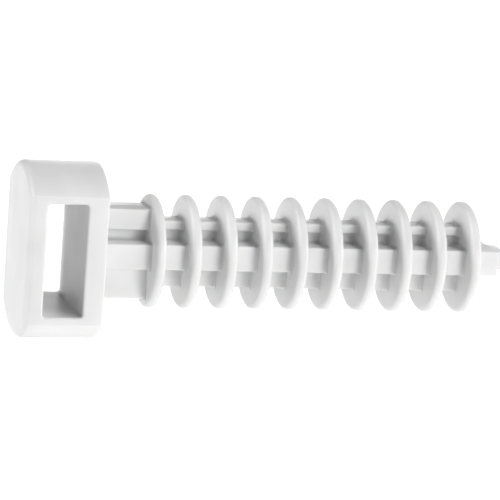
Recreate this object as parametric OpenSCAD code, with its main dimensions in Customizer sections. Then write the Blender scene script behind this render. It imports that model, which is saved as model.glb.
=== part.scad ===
// Plug-in wall anchor for cable ties, moulded in nylon.
// The shank lies along +X, the outer side of the wall is the plane X = 0,
// and the slot for the tie is upright (Z) and runs through the head along Y.

/* [Head] */
// Diameter of the round head
head_d = 14.6; // [13.6:0.1:16]
// Length of the head, outer face to wall
head_l = 6.5; // [6:0.1:8]
// Distance across the two flats, front to back
head_flats = 10; // [8:0.1:10.6]
// Radius of the rounded rim on the outer face
head_rim_r = 0.6; // [0.1:0.05:0.8]

/* [Tie slot] */
// Height of the slot, for the width of the tie
slot_h = 9.3; // [6:0.1:9.6]
// Width of the slot, for the thickness of the tie
slot_w = 3.3; // [2:0.1:3.4]
// Wall between the slot and the face against the wall
slot_wall = 1.7; // [1.2:0.05:2]

/* [Shank] */
// Diameter over the fins, a press fit in an 8 mm hole
fin_d = 9.4; // [8.4:0.1:10]
// Distance from one fin to the next
fin_pitch = 3; // [2.4:0.1:3.6]
// Distance from the wall to the middle of the first fin
first_fin_x = 4.65; // [3.4:0.05:6]
// Thickness of a fin at its rim
fin_rim_t = 0.85; // [0.7:0.05:1]
// Thickness of a fin at its root
fin_root_t = 1; // [1:0.05:1.4]
// Radius of the rounded corners of a fin's rim
fin_corner_r = 0.3; // [0.1:0.05:0.3]

/* [Ribbed section] */
// Height of the spine between the fins
spine_h = 5.5; // [5:0.1:7]
// Height of the taller section next to the head
neck_h = 7.5; // [7:0.1:8]
// Depth of the section between the fins, front to back
flange_w = 2.2; // [1.6:0.1:3.2]
// Depth of the section next to the head, front to back
neck_flange_w = 3; // [1.6:0.1:3.2]
// Distance from the axis to the far side of each pocket, up or down
pocket_top = 2; // [1.6:0.1:2.2]
// Distance from the middle plane to the floor of each pocket
pocket_floor = 0.45; // [0.2:0.05:0.6]
// Depth of the centre rib, front to back
rib_w = 5.5; // [4:0.1:6]
// Height of the centre rib
rib_h = 2.1; // [1.8:0.1:2.6]

/* [Tip] */
// Length of the stub past the last fin
tip_l = 3; // [1.5:0.1:5]
// Length of the narrow end of the stub
tip_nose_l = 1; // [0.2:0.1:1.2]
// Height of the narrow end
tip_nose_h = 1.7; // [0.8:0.1:1.8]
// Depth of the narrow end, front to back
tip_nose_w = 2.6; // [1.6:0.1:2.8]

/* [Hidden] */
$fn = 96;

fin_count = 10;
// How far the neck is let into the face of the head
neck_root = 0.6;
// Extra length that takes a cutting shape clear of what it cuts
over = 1;

slot_x = -slot_wall - slot_w;
last_fin_x = first_fin_x + (fin_count - 1) * fin_pitch;
neck_end = first_fin_x - fin_root_t / 2;
spine_end = last_fin_x + fin_root_t / 2;
tip_end = spine_end + tip_l;

module nylon() {
    color([0.93, 0.93, 0.92]) children();
}

// Block from x0 to x1, centred on the axis in Y and Z
module beam(x0, x1, depth, height) {
    translate([x0, -depth / 2, -height / 2])
        cube([x1 - x0, depth, height]);
}

// Upper half of the section, with a pocket open to the front below its top edge
module ribbed_half(x0, x1, height, depth) {
    translate([x0, -pocket_floor, 0])
        cube([x1 - x0, pocket_floor + depth / 2, height / 2]);
    translate([x0, -depth / 2, pocket_top])
        cube([x1 - x0, depth, height / 2 - pocket_top]);
}

// Upright section with a deep centre rib; one pocket is open to the front, above
// the rib, and its twin is open to the back, below the rib
module ribbed_beam(x0, x1, height, depth) {
    beam(x0, x1, rib_w, rib_h);
    for (turn = [0, 180])
        rotate([turn, 0, 0])
            ribbed_half(x0, x1, height, depth);
}

// Solid turned about the X axis from a half profile of radius and length
module turned(x) {
    translate([x, 0, 0]) rotate([0, 90, 0])
        rotate_extrude() children();
}

// Half profile of the head: a disc with a rounded outer rim
module head_profile() {
    core_r = head_d / 2 - head_rim_r;
    square([core_r, head_l]);
    translate([core_r, head_rim_r])
        circle(r = head_rim_r);
    translate([0, head_rim_r])
        square([head_d / 2, head_l - head_rim_r]);
}

module head() {
    nylon() difference() {
        intersection() {
            turned(-head_l) head_profile();
            beam(-head_l - over, over, head_flats, head_d + over);
        }
        beam(slot_x, slot_x + slot_w, head_flats + over, slot_h);
        ribbed_beam(-neck_root, over, neck_h, neck_flange_w);
    }
}

module neck() {
    nylon() ribbed_beam(-neck_root, neck_end, neck_h, neck_flange_w);
}

module spine() {
    nylon() ribbed_beam(neck_end, spine_end, spine_h, flange_w);
}

// Half profile of a fin, thicker at the root, with a rounded rim
module fin_profile() {
    corner_x = fin_d / 2 - fin_corner_r;
    corner_y = fin_rim_t / 2 - fin_corner_r;
    polygon([
        [0, -fin_root_t / 2], [corner_x, -fin_rim_t / 2],
        [corner_x, fin_rim_t / 2], [0, fin_root_t / 2]
    ]);
    for (side = [-1, 1])
        translate([corner_x, side * corner_y])
            circle(r = fin_corner_r);
    translate([0, -corner_y])
        square([fin_d / 2, 2 * corner_y]);
}

// One fin, counted from the head, fitting round the spine
module fin(number) {
    x = first_fin_x + (number - 1) * fin_pitch;
    nylon() difference() {
        turned(x) fin_profile();
        ribbed_beam(x - fin_root_t, x + fin_root_t, spine_h, flange_w);
    }
}

// Stub of the centre rib past the last fin, with a narrow end
module tip() {
    nylon() {
        beam(spine_end, tip_end - tip_nose_l, rib_w, rib_h);
        beam(tip_end - tip_nose_l, tip_end, tip_nose_w, tip_nose_h);
    }
}

head();
neck();
spine();
tip();
fin(1);  // fin_01
fin(2);  // fin_02
fin(3);  // fin_03
fin(4);  // fin_04
fin(5);  // fin_05
fin(6);  // fin_06
fin(7);  // fin_07
fin(8);  // fin_08
fin(9);  // fin_09
fin(10);  // fin_10
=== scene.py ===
"""Looks of a nylon wall anchor for cable ties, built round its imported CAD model.

Lengths are in metres, in the CAD frame: X along the shank into the wall, Z up along the
tie slot, the wall's surface at X = 0. Sizes come from the CAD nodes' boxes, and what no
box gives is named below.
"""
import math

import bmesh
import bpy
from mathutils import Matrix, Vector


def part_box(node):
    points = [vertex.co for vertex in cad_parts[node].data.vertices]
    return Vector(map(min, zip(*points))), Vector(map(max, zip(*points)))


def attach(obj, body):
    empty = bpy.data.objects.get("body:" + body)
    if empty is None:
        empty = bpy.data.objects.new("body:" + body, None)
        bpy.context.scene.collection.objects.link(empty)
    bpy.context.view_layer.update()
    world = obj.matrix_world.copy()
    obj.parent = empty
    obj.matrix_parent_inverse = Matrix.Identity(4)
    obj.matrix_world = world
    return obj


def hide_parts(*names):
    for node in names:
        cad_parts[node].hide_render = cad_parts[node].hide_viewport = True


MM = 0.001
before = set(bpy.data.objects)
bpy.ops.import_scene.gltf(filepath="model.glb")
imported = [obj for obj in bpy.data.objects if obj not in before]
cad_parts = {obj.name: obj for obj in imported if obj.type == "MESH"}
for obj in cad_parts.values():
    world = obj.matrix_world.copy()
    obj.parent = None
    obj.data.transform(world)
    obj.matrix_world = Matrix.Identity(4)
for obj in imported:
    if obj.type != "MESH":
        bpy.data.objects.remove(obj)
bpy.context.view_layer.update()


# ---------------------------------------------------------------- sizes from the frame

head_lo, head_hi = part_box("head")
neck_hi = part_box("neck")[1]
spine_lo, spine_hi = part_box("spine")
tip_lo, tip_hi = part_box("tip")
FIN_NAMES = sorted(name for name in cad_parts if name.startswith("fin_"))

head_radius = head_hi.z
head_flat = head_hi.y
outer_face_x = head_lo.x
seat_x = 0.0
neck_half_height = neck_hi.z
spine_half_height = spine_hi.z
rib_half_depth = spine_hi.y
rib_half_height = tip_hi.z

# The parts of the section and slot that no box gives
SLOT_HALF_HEIGHT = 4.65 * MM
SLOT_X = (-5.0 * MM, -1.7 * MM)
NECK_HALF_DEPTH = 1.5 * MM
SPINE_HALF_DEPTH = 1.1 * MM
POCKET_TOP = 2.0 * MM
POCKET_FLOOR = 0.45 * MM

# Small radii of the moulding
HEAD_RIM_R = 0.6 * MM
SEAT_EDGE_R = 0.12 * MM
SLOT_MOUTH_R = 0.18 * MM
SLOT_CORNER_R = 0.25 * MM
SECTION_EDGE_R = 0.12 * MM
SECTION_ROOT_R = 0.26 * MM
FILLET_R = 0.22 * MM
FIN_RIM_T = 0.85 * MM
FIN_ROOT_T = 1.0 * MM
FIN_EDGE_R = 0.38 * MM
FIN_BORE_R = 0.6 * MM
TIP_NOSE_L = 1.0 * MM
TIP_NOSE_HALF = (1.3 * MM, 0.85 * MM)
TIP_NOSE_CORNER_R = 0.3 * MM
TIP_EDGE_R = 0.12 * MM
TIP_FILLET_R = 0.8 * FILLET_R

# How far pieces run into each other, so that no gap shows between them
NECK_LET_IN = 0.4 * MM
END_OVERLAP = 0.1 * MM
NOSE_OVERLAP = 0.2 * MM
FLARE_OVERLAP = 0.05 * MM
# How far the slot's cutting shape runs past the flats
CUTTER_OVER = 0.5 * MM

# The part is held up clear of the floor, so that its soft shadows fall out of view
FLOOR_DROP = 120 * MM
FLOOR_HALF = 20
FLOOR_X = 15 * MM

# Where the two halves of the mould met, a fine raised line
SEAM_HALF_W = 0.05 * MM
SEAM_H = 0.02 * MM

# Edges that turn more sharply than this aren't smoothed over
SMOOTH_ANGLE = math.radians(40)


# ---------------------------------------------------------------- mesh helpers

def new_piece(name, bm):
    """Turns a bmesh into an object, smooth shaded except at sharp corners."""
    bmesh.ops.remove_doubles(bm, verts=bm.verts, dist=1e-8)
    bmesh.ops.recalc_face_normals(bm, faces=bm.faces)
    mesh = bpy.data.meshes.new(name)
    bm.to_mesh(mesh)
    bm.free()
    piece = bpy.data.objects.new(name, mesh)
    bpy.context.scene.collection.objects.link(piece)
    mesh.shade_smooth()
    mesh.set_sharp_from_angle(angle=SMOOTH_ANGLE)
    return piece


def rounded_outline(corners, steps=5):
    """Function of an offset: a closed 2D outline with its corners rounded.

    Each corner is (u, v, radius), anticlockwise. The offset grows the outline: it adds to
    the radius of an outward corner and takes from that of an inward one, so every offset
    gives the same number of points.
    """
    count = len(corners)
    arcs = []
    for i, (u, v, radius) in enumerate(corners):
        here = Vector((u, v))
        back = (Vector(corners[i - 1][:2]) - here).normalized()
        ahead = (Vector(corners[(i + 1) % count][:2]) - here).normalized()
        outward = back.cross(ahead) < 0
        turn = math.acos(max(-1, min(1, back.dot(ahead))))
        reach = radius / math.tan(turn / 2)
        bisector = (back + ahead).normalized()
        centre = here + bisector * radius / math.sin(turn / 2)
        first = here + back * reach - centre
        last = here + ahead * reach - centre
        arcs.append((centre, first.normalized(), last.normalized(), radius, outward))

    def outline(offset=0.0):
        points = []
        for centre, first, last, radius, outward in arcs:
            grown = radius + offset if outward else radius - offset
            for k in range(steps + 1):
                way = first.slerp(last, k / steps)
                points.append(centre + way * grown)
        return points

    return outline


def sweep(bm, stations, place):
    """Skins closed outlines, one per station, and caps both ends.

    Each station is (position, outline points); place(position, point) gives the 3D point.
    """
    rings = [[bm.verts.new(place(at, p)) for p in points] for at, points in stations]
    size = len(rings[0])
    for a, b in zip(rings, rings[1:]):
        for i in range(size):
            j = (i + 1) % size
            bm.faces.new((a[i], a[j], b[j], b[i]))
    bm.faces.new(reversed(rings[0]))
    bm.faces.new(rings[-1])


def along_x(x, p):
    return (x, p[0], p[1])


def along_y(y, p):
    return (p[0], y, p[1])


def quarter(radius, steps, stop=90.0):
    """Points (along, out) of an arc from (0, 0), through stop degrees of a quarter circle."""
    found = []
    for k in range(steps + 1):
        angle = math.radians(stop * k / steps)
        found.append((radius * math.sin(angle), radius * (1 - math.cos(angle))))
    return found


# ---------------------------------------------------------------- the ribbed section

def with_seam(points):
    """Adds the mould's parting line to the top and bottom runs of an outline."""
    out = []
    count = len(points)
    for i, p in enumerate(points):
        q = points[(i + 1) % count]
        out.append(p)
        level = abs(p[1] - q[1]) < 1e-7
        if level and p[0] * q[0] < 0 and abs(p[0] - q[0]) > 4 * SEAM_HALF_W:
            way = 1 if q[0] > p[0] else -1
            up = SEAM_H if p[1] > 0 else -SEAM_H
            out.append(Vector((-way * SEAM_HALF_W, p[1])))
            out.append(Vector((0, p[1] + up)))
            out.append(Vector((way * SEAM_HALF_W, p[1])))
    return out


def ribbed_corners(half_height, half_depth):
    """Corners of the section, anticlockwise in (Y, Z).

    A deep centre rib with a block above and below it. One pocket is open to the front,
    above the rib, and its twin is open to the back, below the rib.
    """
    e, r = SECTION_EDGE_R, SECTION_ROOT_R
    d, p, b = half_depth, POCKET_FLOOR, rib_half_depth
    t, c, h = POCKET_TOP, rib_half_height, half_height
    back = [
        (d, -h, e), (d, -t, e), (p, -t, r), (p, -c, r), (b, -c, e),
        (b, c, e), (d, c, r), (d, h, e),
    ]
    front = [(-u, -v, radius) for u, v, radius in back]
    return back + front


def flare(x, side, radius, steps=5):
    """Stations of a fillet that opens towards the face at x; side is where the face lies."""
    found = []
    for along, out in quarter(radius, steps, stop=80):
        found.append((x - side * (radius - along), out))
    found.append((x + side * FLARE_OVERLAP, found[-1][1]))
    return found if side > 0 else found[::-1]


def beam(name, corners, stations):
    """A length of a section whose outline is offset at each (x, offset)."""
    outline = rounded_outline(corners)
    bm = bmesh.new()
    sweep(bm, [(x, with_seam(outline(offset))) for x, offset in stations], along_x)
    return new_piece(name, bm)


# ---------------------------------------------------------------- pieces

def make_neck():
    seat = [(-NECK_LET_IN, FILLET_R)] + flare(seat_x, -1, FILLET_R)
    first_fin_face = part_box("fin_01")[0].x
    fin = flare(first_fin_face, 1, FILLET_R) + [(neck_hi.x, 0)]
    corners = ribbed_corners(neck_half_height, NECK_HALF_DEPTH)
    return beam("neck_ribs", corners, seat + fin)


def make_spine():
    stations = [(spine_lo.x, 0)]
    for number, name in enumerate(FIN_NAMES):
        lo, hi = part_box(name)
        if number > 0:
            stations += flare(lo.x, 1, FILLET_R)
        if number < len(FIN_NAMES) - 1:
            stations += flare(hi.x, -1, FILLET_R)
    stations.append((spine_hi.x - END_OVERLAP, 0))
    corners = ribbed_corners(spine_half_height, SPINE_HALF_DEPTH)
    return beam("spine_ribs", corners, stations)


def make_fin(name):
    """A disc turned about the X axis, thicker at its root, with a rounded rim."""
    lo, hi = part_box(name)
    middle = (lo.x + hi.x) / 2
    rim_r = hi.z
    half_rim, half_root, edge = FIN_RIM_T / 2, FIN_ROOT_T / 2, FIN_EDGE_R
    right = [(half_root, FIN_BORE_R)]
    steps = 8
    for k in range(steps + 1):
        angle = math.radians(90 * k / steps)
        across, up = edge * math.cos(angle), edge * math.sin(angle)
        right.append((half_rim - edge + across, rim_r - edge + up))
    profile = right + [(-x, r) for x, r in reversed(right)]
    segments = 128
    bm = bmesh.new()
    seam_angle = SEAM_HALF_W / rim_r
    turns = []
    for k in range(segments):
        turns.append((2 * math.pi * k / segments, 0))
    for pole in (math.pi / 2, 3 * math.pi / 2):
        turns = [t for t in turns if abs(t[0] - pole) > 2 * seam_angle]
        turns += [(pole - seam_angle, 0), (pole, SEAM_H), (pole + seam_angle, 0)]
    turns.sort()
    bump_from = rim_r - edge * 1.01
    rings = []
    for angle, bump in turns:
        ring = []
        for x, r in profile:
            out = r + (bump if r > bump_from else 0)
            ring.append(bm.verts.new((middle + x, out * math.cos(angle), out * math.sin(angle))))
        rings.append(ring)
    for a, b in zip(rings, rings[1:] + rings[:1]):
        for i in range(len(profile) - 1):
            bm.faces.new((a[i], a[i + 1], b[i + 1], b[i]))
    bm.faces.new([ring[0] for ring in rings])
    bm.faces.new([ring[-1] for ring in reversed(rings)])
    return new_piece(name + "_disc", bm)


def make_tip():
    """Stub of the centre rib, stepping down to the narrow end."""
    lo, hi = tip_lo, tip_hi
    nose_x = hi.x - TIP_NOSE_L
    body = rounded_outline([
        (hi.y, lo.z, SECTION_EDGE_R), (hi.y, hi.z, SECTION_EDGE_R),
        (lo.y, hi.z, SECTION_EDGE_R), (lo.y, lo.z, SECTION_EDGE_R),
    ])
    bm = bmesh.new()
    stations = [(lo.x - END_OVERLAP, TIP_FILLET_R)] + flare(lo.x, -1, FILLET_R)
    for along, out in quarter(TIP_EDGE_R, 4):
        stations.append((nose_x - TIP_EDGE_R + along, -out))
    sweep(bm, [(x, with_seam(body(offset))) for x, offset in stations], along_x)
    nose_y, nose_z = TIP_NOSE_HALF
    corner = TIP_NOSE_CORNER_R
    nose = rounded_outline([
        (nose_y, -nose_z, corner), (nose_y, nose_z, corner),
        (-nose_y, nose_z, corner), (-nose_y, -nose_z, corner),
    ])
    stations = [(nose_x - NOSE_OVERLAP, 0)]
    for along, out in quarter(TIP_EDGE_R, 4):
        stations.append((hi.x - TIP_EDGE_R + along, -out))
    sweep(bm, [(x, nose(offset)) for x, offset in stations], along_x)
    return new_piece("tip_stub", bm)


def head_outline(inset, segments=40):
    """Circle with two flats, in (Y, Z), moved inwards by inset."""
    radius, flat = head_radius - SEAM_H - inset, head_flat - inset
    meet = math.acos(flat / radius)
    points = []
    for middle in (math.pi / 2, 3 * math.pi / 2):
        reach = math.pi / 2 - meet
        for k in range(segments + 1):
            angle = middle - reach + 2 * reach * k / segments
            points.append(Vector((radius * math.cos(angle), radius * math.sin(angle))))
    return points


def make_head():
    """Round head with flats, cut by the slot for the tie, whose mouths are rounded."""
    bm = bmesh.new()
    stations = []
    for along, out in quarter(HEAD_RIM_R, 8):
        stations.append((outer_face_x + out, HEAD_RIM_R - along))
    for along, out in quarter(SEAT_EDGE_R, 4):
        stations.append((seat_x - SEAT_EDGE_R + along, out))
    sweep(bm, [(x, head_outline(inset)) for x, inset in stations], along_x)
    head = new_piece("head_block", bm)

    corners = [
        (SLOT_X[0], -SLOT_HALF_HEIGHT, SLOT_CORNER_R), (SLOT_X[1], -SLOT_HALF_HEIGHT, SLOT_CORNER_R),
        (SLOT_X[1], SLOT_HALF_HEIGHT, SLOT_CORNER_R), (SLOT_X[0], SLOT_HALF_HEIGHT, SLOT_CORNER_R),
    ]
    slot = rounded_outline(corners, steps=6)
    mouth = []
    for along, out in quarter(SLOT_MOUTH_R, 6, stop=84):
        mouth.append((head_flat - SLOT_MOUTH_R + along, out))
    mouth.append((head_flat + CUTTER_OVER, mouth[-1][1] + CUTTER_OVER))
    stations = [(-y, out) for y, out in reversed(mouth)] + mouth
    bm = bmesh.new()
    sweep(bm, [(y, slot(out)) for y, out in stations], along_y)
    cutter = new_piece("slot_cutter", bm)

    cut = head.modifiers.new("slot", "BOOLEAN")
    cut.operation = "DIFFERENCE"
    cut.solver = "EXACT"
    cut.object = cutter
    result = head.evaluated_get(bpy.context.evaluated_depsgraph_get())
    mesh = bpy.data.meshes.new_from_object(result)
    head.modifiers.clear()
    head.data = mesh
    bpy.data.objects.remove(cutter)
    mesh.shade_smooth()
    mesh.set_sharp_from_angle(angle=SMOOTH_ANGLE)
    return head


# ---------------------------------------------------------------- nylon

def nylon_material():
    """White nylon: slightly translucent, satin, with a fine spark-eroded mould texture."""
    material = bpy.data.materials.new("nylon_white")
    material.use_nodes = True
    nodes, links = material.node_tree.nodes, material.node_tree.links
    shader = nodes["Principled BSDF"]
    shader.inputs["Subsurface Weight"].default_value = 0.6
    shader.inputs["Subsurface Radius"].default_value = (1.0, 0.92, 0.85)
    shader.inputs["Subsurface Scale"].default_value = 0.35 * MM
    shader.inputs["IOR"].default_value = 1.53
    shader.inputs["Specular IOR Level"].default_value = 0.4

    place = nodes.new("ShaderNodeTexCoord")

    def noise(scale, detail, rough=0.5):
        n = nodes.new("ShaderNodeTexNoise")
        n.inputs["Scale"].default_value = scale
        n.inputs["Detail"].default_value = detail
        n.inputs["Roughness"].default_value = rough
        links.new(place.outputs["Object"], n.inputs["Vector"])
        return n

    flow = noise(220, 3)
    tint = nodes.new("ShaderNodeValToRGB")
    tint.color_ramp.elements[0].position = 0.3
    tint.color_ramp.elements[0].color = (0.7, 0.7, 0.7, 1)
    tint.color_ramp.elements[1].position = 0.7
    tint.color_ramp.elements[1].color = (0.76, 0.76, 0.76, 1)
    links.new(flow.outputs["Fac"], tint.inputs["Fac"])
    links.new(tint.outputs["Color"], shader.inputs["Base Color"])

    patchy = noise(900, 4, 0.6)
    gloss = nodes.new("ShaderNodeMapRange")
    gloss.inputs["To Min"].default_value = 0.34
    gloss.inputs["To Max"].default_value = 0.52
    links.new(patchy.outputs["Fac"], gloss.inputs["Value"])
    links.new(gloss.outputs["Result"], shader.inputs["Roughness"])

    grain = noise(9000, 2)
    waves = noise(500, 2)
    fine = nodes.new("ShaderNodeBump")
    fine.inputs["Strength"].default_value = 0.25
    fine.inputs["Distance"].default_value = 0.01 * MM
    links.new(grain.outputs["Fac"], fine.inputs["Height"])
    broad = nodes.new("ShaderNodeBump")
    broad.inputs["Strength"].default_value = 0.35
    broad.inputs["Distance"].default_value = 0.03 * MM
    links.new(waves.outputs["Fac"], broad.inputs["Height"])
    links.new(fine.outputs["Normal"], broad.inputs["Normal"])
    links.new(broad.outputs["Normal"], shader.inputs["Normal"])
    return material


# ---------------------------------------------------------------- stage

def make_camera():
    """Long lens from the head's side, a little above, with the photographer's slight tilt."""
    azimuth, elevation, roll = math.radians(-15.35), math.radians(11.3), math.radians(4.2)
    distance, target = 258.5 * MM, Vector((13.25, 0, 0.22)) * MM
    look = Vector((-math.sin(azimuth) * math.cos(elevation), math.cos(azimuth) * math.cos(elevation),
                   -math.sin(elevation)))
    right = look.cross(Vector((0, 0, 1))).normalized()
    up = right.cross(look)
    tilted_right = math.cos(roll) * right + math.sin(roll) * up
    tilted_up = math.cos(roll) * up - math.sin(roll) * right
    data = bpy.data.cameras.new("camera")
    data.sensor_width = 36
    data.lens = 223.6
    data.clip_start, data.clip_end = 0.01, 20
    camera = bpy.data.objects.new("camera", data)
    bpy.context.scene.collection.objects.link(camera)
    turn = Matrix((tilted_right, tilted_up, -look)).transposed().to_4x4()
    camera.matrix_world = Matrix.Translation(target - look * distance) @ turn
    bpy.context.scene.camera = camera


def make_floor():
    bm = bmesh.new()
    bmesh.ops.create_grid(bm, x_segments=8, y_segments=8, size=FLOOR_HALF)
    floor = new_piece("floor", bm)
    floor.location = (FLOOR_X, 0, head_lo.z - FLOOR_DROP)
    material = bpy.data.materials.new("floor_white")
    material.use_nodes = True
    shader = material.node_tree.nodes["Principled BSDF"]
    shader.inputs["Base Color"].default_value = (0.9, 0.9, 0.9, 1)
    shader.inputs["Roughness"].default_value = 0.9
    shader.inputs["Emission Color"].default_value = (1, 1, 1, 1)
    shader.inputs["Emission Strength"].default_value = 0.35
    floor.data.materials.append(material)


def make_backdrop():
    """White card far behind, off to +X, where the level faces mirror it at a shallow angle."""
    bm = bmesh.new()
    bmesh.ops.create_grid(bm, x_segments=1, y_segments=1, size=1)
    card = new_piece("backdrop", bm)
    half_width, half_height = 0.4, 0.35
    distance, aside = 1.6, 0.65
    card.scale = (half_width, half_height, 1)
    card.rotation_euler = (math.pi / 2, 0, 0)
    card.location = (aside, distance, head_lo.z - FLOOR_DROP + half_height)
    material = bpy.data.materials.new("backdrop_white")
    material.use_nodes = True
    shader = material.node_tree.nodes["Principled BSDF"]
    shader.inputs["Base Color"].default_value = (0.9, 0.9, 0.9, 1)
    shader.inputs["Emission Color"].default_value = (1, 1, 1, 1)
    shader.inputs["Emission Strength"].default_value = 2.0
    card.data.materials.append(material)


def sun_light(name, azimuth, elevation, spread, strength):
    """A broad, distant softbox: azimuth 0 is at the front (-Y), and +90 is at +X."""
    data = bpy.data.lights.new(name, "SUN")
    data.angle = math.radians(spread)
    data.energy = strength
    light = bpy.data.objects.new(name, data)
    bpy.context.scene.collection.objects.link(light)
    a, e = math.radians(azimuth), math.radians(elevation)
    towards = Vector((math.sin(a) * math.cos(e), -math.cos(a) * math.cos(e), math.sin(e)))
    light.rotation_mode = "QUATERNION"
    light.rotation_quaternion = towards.to_track_quat("Z", "Y")


def make_lights():
    world = bpy.data.worlds.new("studio")
    bpy.context.scene.world = world
    world.use_nodes = True
    sky = world.node_tree.nodes["Background"]
    sky.inputs["Color"].default_value = (1, 1, 1, 1)
    sky.inputs["Strength"].default_value = 0.02
    sun_light("key", azimuth=16, elevation=10, spread=20, strength=1.45)
    sun_light("left", azimuth=-100, elevation=35, spread=22, strength=2.05)
    sun_light("top", azimuth=50, elevation=65, spread=24, strength=1.0)
    sun_light("right", azimuth=80, elevation=8, spread=20, strength=0.85)
    sun_light("back", azimuth=140, elevation=14, spread=40, strength=0.35)
    bpy.context.scene.view_settings.view_transform = "Standard"


# ---------------------------------------------------------------- assembly

make_camera()
make_lights()
make_floor()
make_backdrop()

nylon = nylon_material()
pieces = [(make_head(), "head"), (make_neck(), "neck"), (make_spine(), "spine"), (make_tip(), "tip")]
pieces += [(make_fin(name), name) for name in FIN_NAMES]
for piece, node in pieces:
    piece.data.materials.clear()
    piece.data.materials.append(nylon)
    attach(piece, "root")
    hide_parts(node)
